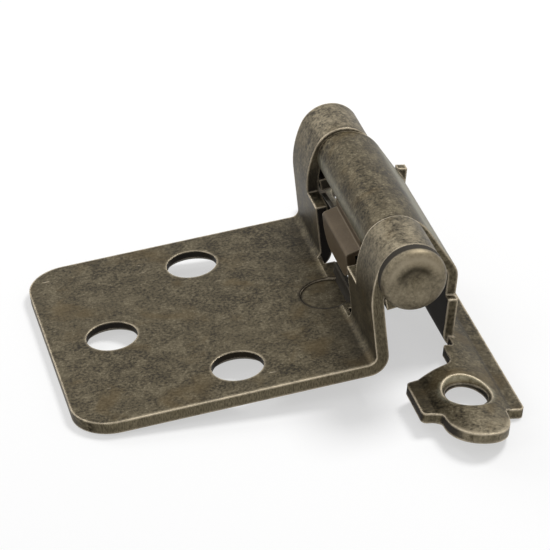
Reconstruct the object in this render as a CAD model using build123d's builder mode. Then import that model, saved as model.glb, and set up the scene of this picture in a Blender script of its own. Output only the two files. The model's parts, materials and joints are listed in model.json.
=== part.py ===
from build123d import *
from math import atan2, asin, cos, degrees, radians, sin, sqrt, tan
import os

os.makedirs("parts", exist_ok=True)

# Self-closing hinge for a face-frame cabinet door, in millimetres.
# A flat leaf is screwed to the back of the door. It folds up beside the door's edge and rolls into two
# knuckles on a headed pin. The frame leaf rolls round the pin between them and carries a crowned wing
# that is screwed to the cabinet's frame. A nylon block, pushed by a bowed spring strip through a window
# in the door leaf, presses on the frame leaf's roll, whose radius grows as the door opens.
# Origin: middle between the two door screw holes nearest the fold, on the leaf's upper face.
# +X runs along the leaf to the pin, +Y along the pin away from its head, +Z from the leaf to the pin.

# Sheets, pin and fits
door_sheet = 1.15
frame_sheet = 0.95
pin_diameter = 3.5
door_bore_gap = 0.10
running_gap = 0.05
tail_gap = 0.10
side_gap = 0.08

# Door leaf
leaf_length = 28.4
leaf_reach = 27.65
leaf_corner = 3.9
fold_radius = 0.75
pin_height = 8.6
pin_reach = 3.85
flank_turn = 30.0
roll_turn = 235.0
knuckle_length = 5.4
shoulder_height = 5.45
window_width = 11.3
window_sill = 0.1
window_notch = 1.35

# Holes in the door leaf, and the round mark coined beside the fold
door_hole_diameter = 4.84
door_hole_spacing = 19.05
door_hole_to_edge = 15.75
third_hole_offset = 9.8
door_sink = 0.45
coin_diameter = 5.2
coin_depth = 0.12
coin_to_web = 1.05
coin_offset = 0.8

# Pin
head_diameter = 6.1
head_height = 1.75
head_round = 0.95
head_ring = 1.9
dish_depth = 0.28
peen_diameter = 4.6
peen_height = 0.6

# Frame leaf: its wing hangs turned past the closed door, as nothing holds it back
wing_turn = 11.5
nose_offset = 0.18
nose_end = 40.0
slope_turn = 51.5
slope_reach = 3.3
web_reach = 5.62
web_width = 19.2
web_bend = 1.3
foot_bend = 0.4
shoulder_drop = 5.55
lug_drop = 1.5

# Wing
wing_depth = 10.2
wing_width = 9.54
wing_centre = 5.0
wing_length = 53.2
ledge_width = 1.2
ledge_bend = 0.8
ledge_length = 43.0
ledge_corner = 0.5
crown_height = 0.85
tip_width = 5.8
tip_neck = 0.85
tip_shift = 0.15
ear_gap = 32.3
ear_corner = 0.6
ear_root_gap = 28.5
ear_root = 1.3
relief_length = 1.6
relief_lead = 0.55
relief_depth = 1.05
relief_round = 0.35
frame_hole_diameter = 3.95
frame_hole_spacing = 38.1
frame_sink_diameter = 5.4
frame_sink_angle = 100.0

# Closing block and its spring
block_length = 8.4
block_shift = 0.4
block_width = 2.8
block_setback = 0.2
block_bottom = 2.95
block_top = 5.98
block_rise = 0.35
block_round = 0.35
block_heel = 2.0
bearing_angle = 225.0
bearing_half = 0.6
cam_gap = 0.08
spring_sheet = 0.4
spring_height = 2.0
spring_lift = 0.65
spring_lap = 2.3
spring_bow = 0.25
spring_seat = 0.02
slot_gap = 0.1

# Sizes and places that follow
pin_radius = pin_diameter / 2
door_bore = pin_radius + door_bore_gap
frame_bore = pin_radius + running_gap
web_left = leaf_reach - door_hole_to_edge
web_right = web_left + door_sheet
pin_x = web_left + pin_reach
half_leaf = leaf_length / 2
knuckle_inner = half_leaf - knuckle_length
roll_half = knuckle_inner - side_gap
nose_radius = frame_bore + frame_sheet - nose_offset
above_all = 3 * pin_height


def heading(angle):
    """Unit direction in a section plane, in degrees from its first axis."""
    return Vector(cos(radians(angle)), sin(radians(angle)))


# Sections look along +Y: first axis +X, second axis +Z
section = Plane.XZ
pin_length_plane = Plane(origin=(pin_x, 0, pin_height), x_dir=(1, 0, 0), z_dir=(0, 0, 1))

# The frame leaf is drawn about the pin, square to its wing, and stands turned by wing_turn
wing_across = (cos(radians(wing_turn)), 0, -sin(radians(wing_turn)))
wing_up = (sin(radians(wing_turn)), 0, cos(radians(wing_turn)))
wing_section = Plane(origin=(pin_x, 0, pin_height), x_dir=wing_across, z_dir=(0, -1, 0))
wing_plan = Plane(origin=(pin_x, 0, pin_height), x_dir=wing_across, z_dir=wing_up)


# Door leaf. Its sheet follows a middle line; the flank is the arc that is tangent to web and roll.
web_middle = web_left + door_sheet / 2
fold_middle = fold_radius + door_sheet / 2
roll_middle = door_bore + door_sheet / 2
flank_cos = cos(radians(flank_turn))
flank_middle = (pin_x - web_middle - roll_middle * flank_cos) / (1 - flank_cos)
flank_start = pin_height - (flank_middle - roll_middle) * sin(radians(flank_turn))

# The rolled end stops tail_gap short of the flank, whose face leans over it at the height of the bore's foot
flank_inner = flank_middle - door_sheet / 2
flank_face = web_middle + flank_middle - sqrt(flank_inner**2 - (pin_height - door_bore - flank_start) ** 2)

with BuildPart() as door_leaf:
    with BuildSketch(section):
        with BuildLine():
            plate = Line((-door_hole_to_edge, -door_sheet / 2), (web_middle - fold_middle, -door_sheet / 2))
            fold = JernArc(plate @ 1, heading(0), fold_middle, 90)
            Line(fold @ 1, (web_middle, flank_start))
        trace(line_width=door_sheet)
    extrude(amount=half_leaf, both=True)
    fillet(door_leaf.edges().filter_by(Axis.Z).group_by(Axis.X)[0], leaf_corner)

    # The sheet's end turns back to the web under each knuckle
    with BuildSketch(section):
        with BuildLine():
            flank = JernArc((web_middle, flank_start), heading(90), flank_middle, -flank_turn)
            roll = JernArc(flank @ 1, heading(90 - flank_turn), roll_middle, -roll_turn)
            tail_heading = heading(90 - flank_turn - roll_turn)
            tail_run = (flank_face + tail_gap - (roll @ 1).X) / tail_heading.X
            Line(roll @ 1, (roll @ 1) + tail_heading * tail_run)
        trace(line_width=door_sheet)
    extrude(amount=half_leaf, both=True)

    # Room for the frame leaf's roll past the web and above the shoulders, and the block's window below them
    with BuildSketch(Plane.YZ.offset(web_right)):
        Rectangle(2 * knuckle_inner, above_all, align=(Align.CENTER, Align.MIN))
    extrude(amount=above_all, mode=Mode.SUBTRACT)
    with BuildSketch(Plane.YZ.offset(web_left - fold_radius)):
        with Locations((0, shoulder_height)):
            Rectangle(2 * knuckle_inner, above_all, align=(Align.CENTER, Align.MIN))
        with Locations((0, window_sill)):
            Rectangle(window_width, above_all, align=(Align.CENTER, Align.MIN))
    extrude(amount=above_all, mode=Mode.SUBTRACT)

    # The window's lower corners are cut on through the fold
    with BuildSketch(Plane.YZ.offset(web_left)):
        with Locations(*[(side * (window_width - window_notch) / 2, 0) for side in (-1, 1)]):
            Rectangle(window_notch, 2 * (door_sheet + fold_radius))
    extrude(amount=above_all, mode=Mode.SUBTRACT)

    # Screw holes sunk from below, and the coined mark
    under_leaf = Plane(origin=(0, 0, -door_sheet), x_dir=(1, 0, 0), z_dir=(0, 0, -1))
    with Locations(under_leaf):
        with Locations((0, door_hole_spacing / 2), (0, -door_hole_spacing / 2), (-third_hole_offset, 0)):
            CounterSinkHole(door_hole_diameter / 2, door_hole_diameter / 2 + door_sink, counter_sink_angle=90)
    with BuildSketch(Plane.XY.offset(-coin_depth)):
        with Locations((web_left - coin_to_web, -coin_offset)):
            Circle(coin_diameter / 2)
    extrude(amount=coin_depth + fold_radius, mode=Mode.SUBTRACT)

door_leaf.part.label = "door_leaf"


# Pin: dished head, plain shank, and a tail peened over behind the last knuckle
with BuildPart() as hinge_pin:
    with BuildSketch(pin_length_plane):
        with BuildLine():
            head_end = -half_leaf - head_height
            peen_end = half_leaf + peen_height
            dish = Spline((0, head_end + dish_depth), (head_ring, head_end), tangents=[(1, 0), (1, 0)])
            head_side = (head_diameter / 2, head_end + head_round)
            brow = Spline(dish @ 1, head_side, tangents=[(1, 0), (0, 1)])
            shank = Polyline(
                brow @ 1,
                (head_diameter / 2, -half_leaf),
                (pin_radius, -half_leaf),
                (pin_radius, half_leaf),
                (peen_diameter / 2, half_leaf),
            )
            peen = Spline(shank @ 1, (0, peen_end), tangents=[(0, 1), (-1, 0)])
            Line(peen @ 1, dish @ 0)
        make_face()
    revolve(axis=Axis((pin_x, 0, pin_height), (0, 1, 0)))

hinge_pin.part.label = "hinge_pin"


# Frame leaf. Middle lines of its sheet, drawn about the pin in the wing's own section.
sweep_cos = cos(radians(slope_turn))
frame_roll_middle = frame_bore + frame_sheet / 2
sweep_middle = (slope_reach - frame_sheet / 2 - frame_roll_middle * sweep_cos) / (1 - sweep_cos)
frame_web_middle = web_reach + frame_sheet / 2
web_bend_middle = web_bend + frame_sheet / 2
foot_middle = foot_bend + frame_sheet / 2
slope_end = frame_web_middle - web_bend_middle * (1 - sin(radians(slope_turn)))

# The crown is one wide arc between two small bends, and the foot's bend lies tangent on it
ledge_level = -wing_depth - frame_sheet / 2
crown_half = wing_width / 2 - ledge_width
crown_turn = 2 * degrees(atan2(crown_height, crown_half))
crown_middle = crown_half / sin(radians(crown_turn)) - ledge_bend
crown_centre = ledge_level + crown_height - crown_middle
foot_x = frame_web_middle + foot_middle - wing_centre
foot_tilt = degrees(asin(foot_x / (crown_middle + foot_middle)))
foot_level = crown_centre + sqrt((crown_middle + foot_middle) ** 2 - foot_x**2)
foot_lap = 4.0
neck_left = wing_centre + (crown_middle + frame_sheet / 2) * sin(radians(foot_tilt))

with BuildPart() as frame_leaf:
    # The wing: a crowned strip with a flat ledge along each side
    with BuildSketch(wing_section):
        with BuildLine():
            left_edge = (wing_centre - wing_width / 2, ledge_level)
            left_ledge = Line(left_edge, (left_edge[0] + ledge_width, ledge_level))
            rise = JernArc(left_ledge @ 1, heading(0), ledge_bend, crown_turn)
            crown = JernArc(rise @ 1, heading(crown_turn), crown_middle, -2 * crown_turn)
            fall = JernArc(crown @ 1, heading(-crown_turn), ledge_bend, crown_turn)
            Line(fall @ 1, (wing_centre + wing_width / 2, ledge_level))
        trace(line_width=frame_sheet)
    extrude(amount=wing_length / 2, both=True)

    # Its outline: rounded tips, ears that reach under the pin, and a waist with a relief at each web end
    with BuildSketch(wing_plan) as outline:
        with BuildLine():
            right_x = wing_centre + wing_width / 2
            left_x = wing_centre - wing_width / 2
            tip_x = wing_centre - tip_shift
            neck_y = -ledge_length / 2 - tip_neck
            relief_y = -web_width / 2 - relief_length
            relief_left = web_reach - relief_lead
            relief_right = relief_left + relief_depth
            side_right = Polyline(
                (neck_left, 0),
                (right_x, 0),
                (right_x, -ledge_length / 2),
                (tip_x + tip_width / 2 + tip_neck, -ledge_length / 2),
            )
            neck_right = JernArc(side_right @ 1, (-1, 0), tip_neck, 90)
            tip = EllipticalCenterArc(
                (tip_x, neck_y), tip_width / 2, wing_length / 2 + neck_y, start_angle=180, arc_size=180
            )
            neck_left_arc = JernArc(tip @ 0, (0, 1), tip_neck, 90)
            ear = FilletPolyline(
                neck_left_arc @ 1,
                (left_x, -ledge_length / 2),
                (left_x, -ear_gap / 2),
                (relief_left, -ear_root_gap / 2),
                (relief_left, relief_y),
                (relief_right, relief_y),
                (relief_right, -web_width / 2),
                radius=[ledge_corner, ear_corner, ear_root, relief_round, relief_round],
            )
            Polyline(ear @ 1, (neck_left, -web_width / 2), (neck_left, 0))
        make_face()
        mirror(about=Plane.XZ)
        fillet(outline.vertices().group_by(Axis.X)[-1], ledge_corner)
    extrude(amount=wing_depth + above_all, both=True, mode=Mode.INTERSECT)

    # The web stands on the wing and slopes over to the pin
    with BuildSketch(wing_section):
        with BuildLine():
            sweep_arc = JernArc((0, frame_roll_middle), heading(0), sweep_middle, -slope_turn)
            slope_heading = heading(-slope_turn)
            slope_run = (slope_end - (sweep_arc @ 1).X) / slope_heading.X
            slope = Line(sweep_arc @ 1, (sweep_arc @ 1) + slope_heading * slope_run)
            bend = JernArc(slope @ 1, slope_heading, web_bend_middle, slope_turn - 90)
            web = Line(bend @ 1, (frame_web_middle, foot_level))
            foot = JernArc(web @ 1, heading(-90), foot_middle, 90 - foot_tilt)
            JernArc(foot @ 1, heading(-foot_tilt), crown_middle, -foot_lap)
        trace(line_width=frame_sheet)
    extrude(amount=web_width / 2, both=True)
    with BuildSketch(wing_plan.offset(-shoulder_drop)):
        for end in (Align.MAX, Align.MIN):
            with Locations((0, -roll_half if end == Align.MAX else roll_half)):
                Rectangle(above_all, web_width, align=(Align.CENTER, end))
    extrude(amount=above_all, mode=Mode.SUBTRACT)

    # At the back the web's end stays upright past the slope, as a lug
    with BuildSketch(wing_plan.offset(foot_level)):
        with Locations((web_reach, roll_half)):
            Rectangle(frame_sheet, web_width / 2 - roll_half, align=Align.MIN)
    extrude(amount=-lug_drop - foot_level)

    # The rest of the roll: a nose whose radius shrinks from the top of the pin to its underside
    with BuildSketch(wing_section):
        with Locations((0, nose_offset)):
            Circle(nose_radius)
        Circle(frame_bore, mode=Mode.SUBTRACT)
        with BuildLine():
            Polyline(
                (0, 0),
                (0, pin_height),
                (pin_height, pin_height),
                (pin_height, -pin_height * tan(radians(nose_end))),
                (0, 0),
            )
        make_face(mode=Mode.SUBTRACT)
    extrude(amount=roll_half, both=True)

    # Screw holes in the wing
    with Locations(wing_plan.offset(-wing_depth + crown_height)):
        with Locations(*[(wing_centre, side * frame_hole_spacing / 2) for side in (-1, 1)]):
            CounterSinkHole(
                frame_hole_diameter / 2, frame_sink_diameter / 2, counter_sink_angle=frame_sink_angle
            )

frame_leaf.part.label = "frame_leaf"


# Closing block: its bearing face lies square to bearing_angle, cam_gap clear of the nose
nose_reach = nose_radius + nose_offset * cos(radians(bearing_angle - 90 + wing_turn))
bearing = Vector(pin_x, pin_height) + heading(bearing_angle) * (nose_reach + cam_gap)
block_left = web_left + block_setback
block_right = block_left + block_width
ridge = bearing + heading(bearing_angle - 90) * bearing_half
bearing_end = bearing + heading(bearing_angle + 90) * ((block_right - bearing.X) / heading(bearing_angle + 90).X)
spring_bottom = block_bottom + spring_lift
spring_end = window_width / 2 + spring_lap
spring_middle = web_right + spring_seat + spring_sheet / 2

with BuildPart() as closing_block:
    with BuildSketch(section.offset(block_shift)):
        with BuildLine():
            Polyline(
                (block_left, block_bottom),
                (block_left, block_top),
                (ridge.X, block_top + block_rise),
                (ridge.X, ridge.Y),
                (bearing_end.X, bearing_end.Y),
                (block_right, block_bottom),
                (block_left, block_bottom),
            )
        make_face()
    extrude(amount=block_length / 2, both=True)
    fillet(closing_block.edges().filter_by(Axis.X).group_by(Axis.Z)[0], block_heel)
    fillet(closing_block.edges().filter_by(Axis.Y).group_by(Axis.X)[0].sort_by(Axis.Z)[-1], block_round)
    with BuildSketch(Plane.XZ):
        with Locations((spring_middle + spring_bow / 2, spring_bottom + spring_height / 2)):
            Rectangle(spring_sheet + spring_bow + 2 * slot_gap, spring_height + 2 * slot_gap)
    extrude(amount=block_length, both=True, mode=Mode.SUBTRACT)

closing_block.part.label = "closing_block"


# Spring: a bowed strip that bears on the web on both sides of the window and runs through the block
with BuildPart() as closing_spring:
    with BuildSketch(Plane.XY.offset(spring_bottom)):
        with BuildLine():
            ThreePointArc(
                (spring_middle, -spring_end), (spring_middle + spring_bow, 0), (spring_middle, spring_end)
            )
        trace(line_width=spring_sheet)
    extrude(amount=spring_height)

closing_spring.part.label = "closing_spring"


for piece in (door_leaf, hinge_pin, frame_leaf, closing_block, closing_spring):
    export_step(piece.part, f"parts/{piece.part.label}.step")
    print(piece.part.label, len(piece.part.solids()), round(piece.part.volume, 2))
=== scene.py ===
import json
from math import cos, radians, sin

import bmesh
import bpy
from mathutils import Matrix, Vector


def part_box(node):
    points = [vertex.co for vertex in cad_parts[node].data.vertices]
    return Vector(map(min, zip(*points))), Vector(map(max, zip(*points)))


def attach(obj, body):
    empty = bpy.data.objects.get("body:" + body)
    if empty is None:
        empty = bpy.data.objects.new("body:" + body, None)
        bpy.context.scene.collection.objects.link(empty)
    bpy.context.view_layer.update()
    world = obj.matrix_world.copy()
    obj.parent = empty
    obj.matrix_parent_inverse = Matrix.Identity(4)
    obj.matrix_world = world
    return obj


# A self-closing cabinet hinge in dark antique brass, lying on a pale table.
# Lengths are in metres in the part's own frame: +X along the door leaf to the pin, +Y along the pin away
# from its head, +Z from the leaf to the side of the pin.

MM = 0.001
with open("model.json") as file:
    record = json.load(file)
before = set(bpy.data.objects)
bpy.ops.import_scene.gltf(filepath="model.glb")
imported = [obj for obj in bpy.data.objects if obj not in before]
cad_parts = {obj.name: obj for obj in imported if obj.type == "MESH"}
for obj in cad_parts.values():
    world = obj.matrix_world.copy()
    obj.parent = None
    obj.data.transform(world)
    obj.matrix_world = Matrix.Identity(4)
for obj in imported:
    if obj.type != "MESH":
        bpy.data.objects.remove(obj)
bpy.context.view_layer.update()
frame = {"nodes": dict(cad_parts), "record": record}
nodes = frame["nodes"]
joints = {joint["name"]: joint for joint in frame["record"]["behaviour"]["joints"]}
mounts = {mount["name"]: mount for mount in frame["record"]["mounts"]}
pin_place = joints["pin_hinge"]["pos_m"]
leaf_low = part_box("door_leaf")[0]
wing_low, wing_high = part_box("frame_leaf")
pin_low, pin_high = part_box("hinge_pin")

along_y = (0, 1, 0)
along_z = (0, 0, 1)
black = (0, 0, 0)
white = (1, 1, 1)


# Camera: a long lens from the left front, with the picture turned a little
camera_azimuth = 10.549
camera_elevation = 31.445
camera_roll = -6.834
camera_distance = 0.2871
camera_target = Vector((7.01 * MM, 4.34 * MM, 0))
camera_lens = 197.78
camera_nearest = 0.01
camera_farthest = 10


def make_camera():
    """Puts the camera at the photograph's viewing angle."""
    azimuth, elevation, roll = (radians(a) for a in (camera_azimuth, camera_elevation, camera_roll))
    ahead = Vector((sin(azimuth) * cos(elevation), cos(azimuth) * cos(elevation), -sin(elevation)))
    level = Vector((cos(azimuth), -sin(azimuth), 0))
    upright = level.cross(ahead)
    right = cos(roll) * level + sin(roll) * upright
    up = -sin(roll) * level + cos(roll) * upright
    data = bpy.data.cameras.new("camera")
    data.lens = camera_lens
    data.clip_start = camera_nearest
    data.clip_end = camera_farthest
    camera = bpy.data.objects.new("camera", data)
    turn = Matrix((right, up, -ahead)).transposed().to_4x4()
    camera.matrix_world = Matrix.Translation(camera_target - ahead * camera_distance) @ turn
    bpy.context.scene.collection.objects.link(camera)
    bpy.context.scene.camera = camera


class Wire:
    """A shader socket that can be used in Python expressions."""

    def __init__(self, shader, socket):
        self.shader = shader
        self.socket = socket

    def math(self, operation, *values, clamp=False):
        settings = {"operation": operation, "use_clamp": clamp}
        return self.shader.node("ShaderNodeMath", settings, dict(enumerate(values)))

    def __add__(self, other):
        return self.math("ADD", self, other)

    def __radd__(self, other):
        return self.math("ADD", other, self)

    def __sub__(self, other):
        return self.math("SUBTRACT", self, other)

    def __rsub__(self, other):
        return self.math("SUBTRACT", other, self)

    def __mul__(self, other):
        return self.math("MULTIPLY", self, other)

    def __rmul__(self, other):
        return self.math("MULTIPLY", other, self)

    def least(self, other):
        return self.math("MINIMUM", self, other)

    def size(self):
        return self.math("ABSOLUTE", self)

    def clamped(self):
        return self.math("ADD", self, 0.0, clamp=True)

    def ramp(self, low, high):
        """0 below low, 1 above high, and smooth between."""
        sockets = {"Value": self, "From Min": low, "From Max": high}
        return self.shader.node("ShaderNodeMapRange", {"interpolation_type": "SMOOTHSTEP"}, sockets)

    def band(self, middle, half):
        """1 at middle, falling smoothly to 0 at half on either side."""
        return 1 - (self - middle).size().ramp(0.0, half)


class Shader:
    """The nodes of a material or of the world."""

    seen_by = ("Camera", "Glossy", "Transmission")
    edge_samples = 6
    shelter_samples = 8

    def __init__(self, owner):
        owner.use_nodes = True
        self.tree = owner.node_tree
        self.tree.nodes.clear()

    def node(self, kind, settings, sockets, out=0):
        """Adds a node: its settings first, then the values or links of its sockets, by place or by name."""
        made = self.tree.nodes.new(kind)
        for key, value in settings.items():
            setattr(made, key, value)
        for key, value in sockets.items():
            socket = made.inputs[key]
            if isinstance(value, Wire):
                self.tree.links.new(value.socket, socket)
            elif socket.type == "RGBA":
                socket.default_value = (*value, 1)
            else:
                socket.default_value = value
        return Wire(self, made.outputs[out]) if made.outputs else made

    def place(self):
        return self.node("ShaderNodeTexCoord", {}, {}, out="Object")

    def coordinate(self, axis):
        """The place along X, Y or Z, in metres."""
        return self.node("ShaderNodeSeparateXYZ", {}, {0: self.place()}, out=axis)

    def facing(self):
        """The parts of the surface's own direction along X, Y and Z."""
        normal = self.node("ShaderNodeTexCoord", {}, {}, out="Normal")
        return [self.node("ShaderNodeSeparateXYZ", {}, {0: normal}, out=axis) for axis in "XYZ"]

    def noise(self, size, detail=4.0, rough=0.55, stretch=(1, 1, 1), turn=0.0, shift=(0, 0, 0), warp=0.0):
        """Noise from 0 to 1 with spots about size across, in metres, drawn out by stretch."""
        spread = {
            "Vector": self.place(),
            "Location": shift,
            "Rotation": (0, 0, radians(turn)),
            "Scale": tuple(1 / (size * s) for s in stretch),
        }
        place = self.node("ShaderNodeMapping", {"vector_type": "POINT"}, spread)
        sockets = {"Vector": place, "Scale": 1.0, "Detail": detail, "Roughness": rough, "Distortion": warp}
        return self.node("ShaderNodeTexNoise", {}, sockets)

    def distance_to_axis(self, point, axis):
        """The distance from a line through point along axis, in metres."""
        way = self.node("ShaderNodeVectorMath", {"operation": "SUBTRACT"}, {0: self.place(), 1: point})
        across = self.node("ShaderNodeVectorMath", {"operation": "CROSS_PRODUCT"}, {0: way, 1: axis})
        return self.node("ShaderNodeVectorMath", {"operation": "LENGTH"}, {0: across}, out="Value")

    def mix(self, factor, low, high):
        """Colours low and high mixed by factor."""
        return self.node("ShaderNodeMix", {"data_type": "RGBA"}, {0: factor, 6: low, 7: high}, out=2)

    def rounded(self, radius):
        """The surface's direction with its sharp edges rounded by radius."""
        return self.node("ShaderNodeBevel", {"samples": self.edge_samples}, {"Radius": radius})

    def edge_wear_and_highlight(self, radius):
        """1 on the sharpest edges, 0 on flat faces, over about radius; used for edge wear and for painted
        edge highlights.
        """
        plain = self.node("ShaderNodeNewGeometry", {}, {}, out="Normal")
        sockets = {0: self.rounded(radius), 1: plain}
        return 1 - self.node("ShaderNodeVectorMath", {"operation": "DOT_PRODUCT"}, sockets, out="Value")

    def shelter(self, reach):
        """1 in deep corners of the piece itself, 0 where nothing of it stands within reach."""
        settings = {"samples": self.shelter_samples, "only_local": True}
        return 1 - self.node("ShaderNodeAmbientOcclusion", settings, {"Distance": reach}, out="AO")

    def seen_rays(self):
        """1 for the rays of the camera, metal and glass, 0 for the rays that light the object."""
        seen = [self.node("ShaderNodeLightPath", {}, {}, out=f"Is {kind} Ray") for kind in self.seen_by]
        return (seen[0] + seen[1] + seen[2]).clamped()

    def bumped(self, height, distance, rounding):
        """A direction that rises and falls by distance, with edges rounded by rounding."""
        sockets = {"Strength": 1.0, "Distance": distance, "Height": height, "Normal": self.rounded(rounding)}
        return self.node("ShaderNodeBump", {}, sockets)

    def surface(self, **sockets):
        """Ends a material with its Principled BSDF."""
        named = {key.replace("_", " "): value for key, value in sockets.items()}
        skin = self.node("ShaderNodeBsdfPrincipled", {}, named)
        self.node("ShaderNodeOutputMaterial", {}, {"Surface": skin})


# Antique brass: dark patina rubbed through to paler metal on edges and high spots, with painted shade and
# painted sheen
patina = (0.083, 0.068, 0.041)
patina_dark = (0.020, 0.016, 0.010)
patina_brown = (0.092, 0.064, 0.027)
patina_pale = (0.188, 0.160, 0.106)
# Painted sheen: pale green-grey laid on the barrel's flanks and in the countersinks
painted_sheen = (0.29, 0.28, 0.21)
rubbed = (0.345, 0.296, 0.212)
bare = (0.66, 0.57, 0.43)
# Painted shade: near black laid in corners, gaps, holes and the coined ring
painted_shade_dark = (0.012, 0.009, 0.006)


class Brass(Shader):
    """The hinge's plated sheet and pin, before their own marks are added."""

    patch_size = 7.5 * MM
    cloud_size = 1.6 * MM
    grain_size = 0.3 * MM
    speck_size = 0.2 * MM
    stain_size = 5.0 * MM
    streak_size = 0.11 * MM
    shelter_reach = 5 * MM

    def __init__(self, name, seed, edge_width=0.3 * MM):
        self.material = bpy.data.materials.new(name)
        super().__init__(self.material)
        shift = (seed, 0.7 * seed, -seed)
        self.patches = self.noise(self.patch_size, detail=3, rough=0.5, shift=shift, warp=0.3)
        self.clouds = self.noise(self.cloud_size, detail=4, rough=0.55, shift=shift, warp=0.4)
        self.grain = self.noise(self.grain_size, detail=5, rough=0.65, shift=shift)
        self.specks = self.noise(self.speck_size, detail=1, rough=0.4, shift=shift)
        self.edge = self.edge_wear_and_highlight(edge_width)
        tone = self.grain * 0.6 + self.clouds * 0.25 + self.patches * 0.15
        self.base = self.mix(tone.ramp(0.375, 0.535), patina_dark, patina)
        self.tint((self.grain * 0.7 + self.clouds * 0.3).ramp(0.5, 0.66), patina_pale, strength=0.7)
        self.tint(self.specks.ramp(0.62, 0.74) * self.clouds.ramp(0.35, 0.6), rubbed, strength=0.35)
        self.tint(1 - self.specks.ramp(0.26, 0.36), patina_dark, strength=0.4)
        self.tint(self.clouds.ramp(0.5, 0.66), patina_pale, strength=0.14)
        stains = self.noise(self.stain_size, detail=3, rough=0.55, shift=(seed + 4, 2, seed), warp=0.5)
        self.tint(stains.ramp(0.52, 0.7), patina_brown, strength=0.5)
        # Painted shade in the piece's own corners, which also dulls the metal there
        self.shade_and_dull = self.shelter(self.shelter_reach).ramp(0.12, 0.75) * 0.75

    def tint(self, mask, colour, strength=1.0):
        """Lays colour over what lies there already, where mask is 1."""
        self.base = self.mix((mask * strength).clamped(), self.base, colour)

    def paint_shade(self, mask, strength):
        """Adds painted shade, which also dulls the metal."""
        self.shade_and_dull = (self.shade_and_dull + mask * strength).clamped()

    def spare_edges(self, mask):
        """Takes the wear off the edges where mask is 1."""
        self.edge = self.edge * (1 - mask)

    def mottling(self):
        """Mottling from 0 to 1, for rubbed places and for breaking up painted sheen, highlight and shade."""
        return (self.clouds * 0.4 + self.grain * 0.6).ramp(0.3, 0.72)

    def end_faces(self, along, stretch, pale, streaked):
        """Tints the sheet's sheared end faces pale with dark streaks; gives 1 on those faces, 0 elsewhere."""
        cut = along.size().ramp(0.7, 0.9)
        streaks = self.noise(self.streak_size, detail=4, rough=0.6, stretch=stretch).ramp(0.4, 0.65)
        self.tint(cut, patina_pale, strength=pale)
        self.tint(cut * streaks, patina_dark, strength=streaked)
        return cut

    def finish(self, rise=0.01 * MM, rounding=0.26 * MM, wear=1.0):
        """Adds the painted shade and the rubbed edges, and sets the surface."""
        # Painted shade: near black where the piece is sheltered or marked as shaded
        self.tint(self.shade_and_dull, painted_shade_dark)
        broken = (0.5 + 0.5 * (self.clouds * 0.6 + self.grain * 0.4).ramp(0.38, 0.58)) * wear
        self.tint(self.edge.ramp(0.003, 0.06) * broken, rubbed, strength=0.7)
        self.tint(self.edge.ramp(0.025, 0.13) * broken, bare, strength=0.9)
        height = self.clouds * 0.35 + self.grain * 0.45 + self.specks * 0.2
        self.surface(
            Base_Color=self.base,
            Metallic=(1 - self.shade_and_dull * 0.5).clamped(),
            Roughness=(0.38 + self.clouds * 0.12 + self.grain * 0.16 + self.shade_and_dull * 0.3).clamped(),
            Normal=self.bumped(height, rise, rounding),
        )
        return self.material


# The door leaf's marks: places along the pin, heights above the leaf, and distances from the holes' walls
coin_place = (10.85 * MM, -0.8 * MM, 0)
coin_radius = 2.6 * MM
coin_ring = 0.36 * MM
window_half = 5.75 * MM
window_blend = 0.2 * MM
behind_window = (6 * MM, 6.3 * MM)
behind_top = (7 * MM, 9 * MM)
flat_top = (0, 2 * MM)
knuckle_heights = (6 * MM, 11 * MM)
front_edge_width = (0.05 * MM, 0.45 * MM)
hole_wall = (0.02 * MM, 0.06 * MM)
hole_rim = 0.12 * MM
hole_rim_half = 0.16 * MM
hole_spared = 0.4 * MM
long_mark_size = 0.2 * MM
short_mark_size = 0.22 * MM
mark_spread = 4.2 * MM


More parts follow.
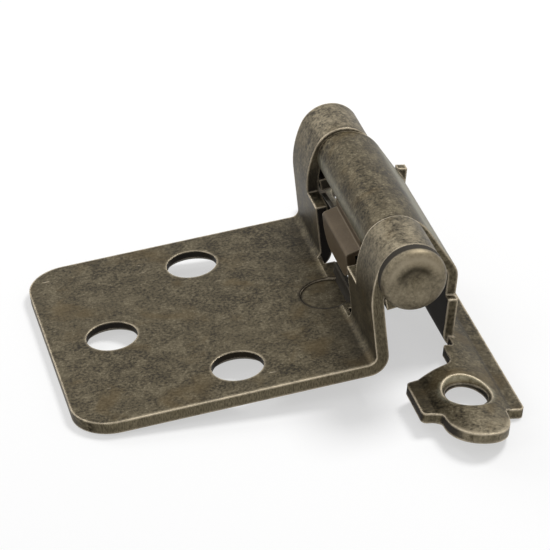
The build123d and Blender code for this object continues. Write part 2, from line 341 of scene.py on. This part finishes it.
def door_leaf_brass():
    """The door leaf: sheared edges, rubbed higher faces with a painted highlight, painted shade in the
    window, on the flat face, in the coined ring and on the hole walls, and a few small scratches on its face.
    """
    shader = Brass("antique_brass_door_leaf", 0.0)
    along, upward = shader.facing()[1:]
    y = shader.coordinate("Y")
    height = shader.coordinate("Z")
    face = upward.ramp(0.6, 0.9)
    cut = shader.end_faces(along, (1, 1, 4), pale=0.6, streaked=0.55)
    # Painted shade on the sheared faces inside the window
    shader.paint_shade(cut * (1 - y.size().ramp(window_half, window_half + window_blend)), strength=1.0)
    # Painted shade: the leaf's flat upper face is a little darker than the faces higher up
    shader.tint((1 - height.ramp(*flat_top)) * face, patina_dark, strength=0.12)
    # Painted shade on the back tab's faces that look forward, behind the window
    behind = y.ramp(*behind_window) * (1 - height.ramp(*behind_top))
    shader.paint_shade(behind * (0 - along).ramp(0.7, 0.9), strength=0.6)
    front_edge = (1 - (y - leaf_low.y).size().ramp(*front_edge_width)) * face
    shader.tint(front_edge * (0.3 + 0.5 * shader.mottling()), rubbed)
    # Rubbed knuckle tops: partly wear, partly a painted highlight
    shader.tint(height.ramp(*knuckle_heights) * shader.mottling(), rubbed, strength=0.5)

    # Painted shade on the coined ring's wall
    ring = shader.distance_to_axis(coin_place, along_z).band(coin_radius, coin_ring) * upward.ramp(0.3, 0.6)
    shader.spare_edges(ring)
    shader.tint(ring, painted_shade_dark, strength=0.85)

    spacing = mounts["door_screws"]["dims"]["spacing_y_mm"] * MM
    radius = mounts["door_screws"]["dims"]["hole_r_mm"] * MM
    third = mounts["door_screw_far"]["pos_m"]
    first, second, far = (
        shader.distance_to_axis(centre, along_z)
        for centre in ((0, -spacing / 2, 0), (0, spacing / 2, 0), (third[0], third[1], 0))
    )
    near = first.least(second).least(far)
    # Painted shade on the screw holes' walls
    shader.tint(1 - near.ramp(*(radius + reach for reach in hole_wall)), painted_shade_dark, strength=0.92)
    shader.tint(near.band(radius + hole_rim, hole_rim_half) * face, rubbed, strength=0.15)
    shader.spare_edges(0.6 * near.band(radius, hole_spared))

    long_marks = shader.noise(long_mark_size, detail=1, stretch=(9, 1, 1), turn=24, shift=(3, 1, 0))
    short_marks = shader.noise(short_mark_size, detail=2, stretch=(3.5, 1, 1), turn=-52, shift=(7, 5, 0))
    rare = shader.noise(mark_spread, detail=1, shift=(2, 9, 0)).ramp(0.56, 0.66)
    marks = (long_marks.ramp(0.72, 0.78) + short_marks.ramp(0.74, 0.8)) * rare * upward.ramp(0.8, 0.95)
    shader.tint(marks, bare, strength=0.6)
    return shader.finish()


def sill_brass():
    """The edge under the closing block, painted dark as shade."""
    shader = Brass("antique_brass_sill", 5.0)
    # Painted shade over the whole sill
    shader.shade_and_dull = 0.6 + 0.4 * shader.clouds
    return shader.finish(rounding=0.08 * MM, wear=0.2)


# The frame leaf's marks: places across and along the wing, heights, and distances from the bores' walls
left_ledge = wing_low.x + 1.2 * MM
left_ledge_blend = 2.2 * MM
right_ledge = wing_high.x - 1.35 * MM
right_ledge_blend = 0.2 * MM
ledge_line_half = 0.25 * MM
wing_heights = (-1.5 * MM, 0)
barrel_heights = (4.5 * MM, 6 * MM)
wing_tips = (21 * MM, 26.5 * MM)
crown_front = (23.2 * MM, 24.4 * MM)
crown_edge_width = 0.8 * MM
under_barrel = (15 * MM, 17 * MM)
under_barrel_side = (16.8 * MM, 17.6 * MM)
sink_middle = 0.45 * MM
sink_half = 0.45 * MM
bore_lip = 0.05 * MM
bore_lip_half = 0.16 * MM
bore_wall = (0.01 * MM, 0.05 * MM)


def frame_leaf_brass():
    """The frame leaf: sheared edges, painted sheen on the barrel's flanks and in the countersinks, painted
    shade on the ledges, bores, inner faces and under the barrel, and a painted highlight on the crown's front
    edge.
    """
    shader = Brass("antique_brass_frame_leaf", 13.0, edge_width=0.36 * MM)
    across, along, upward = shader.facing()
    x = shader.coordinate("X")
    y = shader.coordinate("Y")
    height = shader.coordinate("Z")
    from_middle = y.size()
    barrel = height.ramp(*barrel_heights)
    wing_top = (1 - height.ramp(*wing_heights)) * upward.ramp(0.5, 0.8)
    shader.end_faces(along, (3, 1, 3), pale=0.6, streaked=0.6)
    # Rubbed wing tips: partly wear, partly a painted highlight
    shader.tint(from_middle.ramp(*wing_tips) * shader.mottling(), rubbed, strength=0.5)
    # Painted sheen: paler green-grey on the barrel's left and right flanks
    flank_sheen = across.ramp(0.72, 0.97) + (0 - across).ramp(0.9, 0.99) * 0.7
    shader.tint(flank_sheen * barrel * (0.3 + 0.6 * shader.mottling()), painted_sheen)

    # Painted shade on the wing's back part, under the barrel
    barrel_shade = y.ramp(*under_barrel) * (1 - x.ramp(*under_barrel_side))
    shader.paint_shade(barrel_shade, strength=0.5)
    shader.spare_edges(0.7 * barrel_shade)
    # Painted shade on the inner faces that look left, below the barrel
    shader.paint_shade((0 - across).ramp(0.75, 0.95) * (1 - barrel), strength=0.9)

    # Painted shade on the wing's left ledge
    left_ledge_shade = 1 - x.ramp(left_ledge, left_ledge + left_ledge_blend)
    shader.tint(left_ledge_shade * wing_top, patina_dark, strength=0.6)
    # Painted shade: a dark line along the crown's right flank, and the right ledge painted darker
    right_ledge_shade = x.ramp(right_ledge, right_ledge + right_ledge_blend) * (0.45 - 0.2 * shader.mottling())
    line = x.band(right_ledge, ledge_line_half) * 0.55
    shader.tint((right_ledge_shade + line) * wing_top, patina_dark)
    # Painted highlight along the crown's front edge
    crown_highlight = shader.edge_wear_and_highlight(crown_edge_width).ramp(0.001, 0.035) * from_middle.ramp(*crown_front)
    shader.tint(crown_highlight * upward.ramp(0.4, 0.7) * (0.5 + 0.4 * shader.mottling()), rubbed)

    for name in ("frame_screw_front", "frame_screw_back"):
        hole = mounts[name]
        radius = hole["dims"]["r_mm"] * MM
        distance = shader.distance_to_axis(hole["pos_m"], hole["axis"])
        # Painted sheen in the countersink; painted shade on the bore's lip and wall
        sunk = distance.band(radius + sink_middle, sink_half)
        shader.tint(sunk * (0.1 + 0.45 * shader.mottling()), painted_sheen)
        shader.tint(distance.band(radius + bore_lip, bore_lip_half), patina_dark, strength=0.8)
        shader.paint_shade(1 - distance.ramp(*(radius + reach for reach in bore_wall)), strength=0.6)
    return shader.finish(rounding=0.36 * MM)


# The pin's marks: distances from its axis, heights above it, and distances in from the head's rim
rubbed_out_to = (-1.0 * MM, 2.0 * MM)
dish_arc = 1.35 * MM
dish_arc_half = 0.65 * MM
dish_arc_heights = (-0.2 * MM, 1.0 * MM)
brow_inset = 0.7 * MM
brow_half = 0.5 * MM
brow_heights = (0, 1.5 * MM)
flank_insets = (0.25 * MM, 0.08 * MM)
flank_blend = 0.12 * MM


def pin_brass():
    """The pin: rubbed paler, with a painted highlight on the brow of its head, and painted shade in an arc of
    the dish and on the head's flank.
    """
    shader = Brass("antique_brass_pin", 29.0)
    from_axis = shader.distance_to_axis(pin_place, along_y)
    height = shader.coordinate("Z")
    y = shader.coordinate("Y")
    head_radius = (pin_high.x - pin_low.x) / 2
    shader.tint(from_axis.ramp(*rubbed_out_to) * (0.3 + 0.25 * shader.mottling()), rubbed)
    # Painted shade in an arc of the dish, on its upper half
    upper = height.ramp(*(pin_place[2] + rise for rise in dish_arc_heights))
    shader.tint(from_axis.band(dish_arc, dish_arc_half) * upper, patina_dark, strength=0.75)
    # Painted highlight on the upper brow of the head
    upper = height.ramp(*(pin_place[2] + rise for rise in brow_heights))
    shader.tint(from_axis.band(head_radius - brow_inset, brow_half) * upper, rubbed, strength=0.5)
    # Painted shade on the head's flank, next to the knuckle
    half_way = (pin_low.y + leaf_low.y) / 2
    flank = from_axis.ramp(*(head_radius - inset for inset in flank_insets))
    shader.shade_and_dull = flank * y.ramp(half_way - flank_blend, half_way + flank_blend) * 0.9
    shader.edge = shader.edge * 0.3
    return shader.finish(rise=0.004 * MM, rounding=0.1 * MM)


nylon = (0.235, 0.170, 0.098)
nylon_deep = (0.165, 0.116, 0.064)
nylon_dark = (0.046, 0.032, 0.019)
nylon_pale = (0.36, 0.29, 0.20)
steel_dark = (0.11, 0.10, 0.085)
steel_pale = (0.27, 0.25, 0.215)


def brown_nylon():
    """Brown moulded nylon, with a painted highlight on its edges and painted shade on its sides."""
    material = bpy.data.materials.new("brown_nylon")
    shader = Shader(material)
    clouds = shader.noise(size=2.5 * MM, detail=3)
    grain = shader.noise(size=0.2 * MM, detail=3)
    edge = shader.edge_wear_and_highlight(radius=0.25 * MM).ramp(0.002, 0.05)
    upward = shader.facing()[2]
    base = shader.mix((clouds * 0.6 + grain * 0.4).ramp(0.3, 0.7), nylon_deep, nylon)
    # Painted shade on the faces that do not look up
    base = shader.mix((1 - upward.ramp(0.2, 0.7)) * 0.6, base, nylon_dark)
    # Painted highlight on the edges
    base = shader.mix(edge * (0.6 + 0.4 * clouds), base, nylon_pale)
    base = shader.mix((1 - edge) * 0.12, base, nylon_dark)
    shader.surface(
        Base_Color=base,
        Roughness=0.46 + grain * 0.14,
        Specular_IOR_Level=0.22,
        Normal=shader.bumped(grain, distance=0.01 * MM, rounding=0.2 * MM),
    )
    return material


def spring_steel():
    """Drawn spring steel, with faint lines along the strip."""
    material = bpy.data.materials.new("spring_steel")
    shader = Shader(material)
    clouds = shader.noise(size=1.6 * MM, detail=4)
    drawn = shader.noise(size=1.0 * MM, detail=3, stretch=(1, 1, 0.06))
    base = shader.mix((clouds * 0.5 + drawn * 0.5).ramp(0.35, 0.65), steel_dark, steel_pale)
    shader.surface(
        Base_Color=base,
        Metallic=1.0,
        Roughness=0.34 + clouds * 0.2,
        Normal=shader.bumped(drawn, distance=0.006 * MM, rounding=0.06 * MM),
    )
    return material


def dress(node, material):
    """Gives a CAD node one material."""
    data = nodes[node].data
    data.materials.clear()
    data.materials.append(material)


# The window's lower edge, which stands a little higher than the window is cut
fold_centre = Vector((11.15 * MM, 0, 0.75 * MM))
sill_inside = 1.3 * MM
sill_outside = 1.88 * MM
sill_front = -5.63 * MM
sill_back = 2.6 * MM
sill_rise = 0.35 * MM
sill_turn = 70
sill_steps = 12
sill_rounding = 0.1 * MM
sill_rounding_steps = 3


def in_order(mesh):
    """The corners and faces of a mesh, in an order that is the same each run."""
    corners = sorted(mesh.verts, key=lambda corner: corner.co.to_tuple(9))
    rank = {corner: place for place, corner in enumerate(corners)}
    faces = []
    for face in mesh.faces:
        ranks = [rank[corner] for corner in face.verts]
        first = ranks.index(min(ranks))
        faces.append(ranks[first:] + ranks[:first])
    return [tuple(corner.co) for corner in corners], sorted(faces)


def make_sill(material):
    """A strip of the door leaf's fold: its upright end, spun back down about the fold's centre."""
    mesh = bmesh.new()
    outline = (
        (sill_inside, sill_front),
        (sill_outside, sill_front),
        (sill_outside, sill_back),
        (sill_inside, sill_back),
    )
    corners = [mesh.verts.new(fold_centre + Vector((reach, end, sill_rise))) for reach, end in outline]
    top = mesh.faces.new(corners)
    rim = list(top.edges)
    lower = bmesh.ops.extrude_face_region(mesh, geom=[top], use_keep_orig=True)["geom"]
    moved = [item for item in lower if isinstance(item, bmesh.types.BMVert)]
    bmesh.ops.translate(mesh, verts=moved, vec=(0, 0, -sill_rise))
    bmesh.ops.spin(
        mesh,
        geom=lower,
        cent=fold_centre,
        axis=along_y,
        angle=radians(sill_turn),
        steps=sill_steps,
    )
    bmesh.ops.bevel(
        mesh,
        geom=rim,
        offset=sill_rounding,
        segments=sill_rounding_steps,
        affect="EDGES",
        profile=0.5,
        material=-1,
    )
    bmesh.ops.recalc_face_normals(mesh, faces=mesh.faces)
    places, faces = in_order(mesh)
    mesh.free()
    data = bpy.data.meshes.new("window_sill")
    data.from_pydata(places, [], faces)
    data.materials.append(material)
    sill = bpy.data.objects.new("window_sill", data)
    bpy.context.scene.collection.objects.link(sill)
    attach(sill, "door_leaf")


# Table, lamps and world
table_reach = 0.6
table_clear = 0.02 * MM
leaf_sheet = 1.15 * MM
edge_inset = 0.3 * MM
table_colour = (0.5, 0.5, 0.5)
table_lift = 0.535
lamp_distance = 0.45
lamp_aim = Vector((4 * MM, 0, 3 * MM))
world_light = 0.3
world_seen = 1.0


def make_table():
    """A pale table under the leaf's free edge and the wing's lowest edge."""
    left = Vector((leaf_low.x, 0, -leaf_sheet))
    right = Vector((wing_high.x - edge_inset, 0, wing_low.z))
    across = (right - left).normalized()
    upright = Vector((0, -1, 0)).cross(across)
    centre = Matrix.Translation(left - table_clear * upright)
    turn = Matrix((across, Vector(along_y), upright)).transposed().to_4x4()
    mesh = bmesh.new()
    bmesh.ops.create_grid(mesh, x_segments=1, y_segments=1, size=table_reach, matrix=centre @ turn)
    data = bpy.data.meshes.new("table")
    mesh.to_mesh(data)
    mesh.free()
    table = bpy.data.objects.new("table", data)
    bpy.context.scene.collection.objects.link(table)
    material = bpy.data.materials.new("table")
    shader = Shader(material)
    shader.surface(
        Base_Color=table_colour,
        Roughness=1.0,
        Specular_IOR_Level=0.0,
        Emission_Color=shader.mix(shader.seen_rays(), black, (table_lift,) * 3),
        Emission_Strength=1.0,
    )
    data.materials.append(material)


def area_light(name, azimuth, elevation, size, power):
    """A soft lamp that looks at the hinge; azimuth 0 is in front, 90 on the right."""
    turn, rise = radians(azimuth), radians(elevation)
    towards = Vector((sin(turn) * cos(rise), -cos(turn) * cos(rise), sin(rise)))
    data = bpy.data.lights.new(name, "AREA")
    data.shape = "DISK"
    data.size = size
    data.energy = power
    lamp = bpy.data.objects.new(name, data)
    aimed = towards.to_track_quat("Z", "Y").to_matrix().to_4x4()
    lamp.matrix_world = Matrix.Translation(lamp_aim + towards * lamp_distance) @ aimed
    bpy.context.scene.collection.objects.link(lamp)


def make_world():
    """A pale world that the camera, metal and glass see as white."""
    world = bpy.data.worlds.new("studio")
    bpy.context.scene.world = world
    shader = Shader(world)
    soft = shader.node("ShaderNodeBackground", {}, {"Color": white, "Strength": world_light})
    plain = shader.node("ShaderNodeBackground", {}, {"Color": white, "Strength": world_seen})
    sky = shader.node("ShaderNodeMixShader", {}, {0: shader.seen_rays(), 1: soft, 2: plain})
    shader.node("ShaderNodeOutputWorld", {}, {"Surface": sky})


make_camera()
dress("door_leaf", door_leaf_brass())
make_sill(sill_brass())
dress("frame_leaf", frame_leaf_brass())
dress("hinge_pin", pin_brass())
dress("closing_block", brown_nylon())
dress("closing_spring", spring_steel())
make_table()
make_world()
area_light("key_lamp", azimuth=115, elevation=55, size=0.16, power=1.25)
area_light("back_lamp", azimuth=200, elevation=38, size=0.2, power=0.35)
area_light("left_lamp", azimuth=285, elevation=35, size=0.2, power=0.15)
bpy.context.scene.view_settings.view_transform = "Standard"
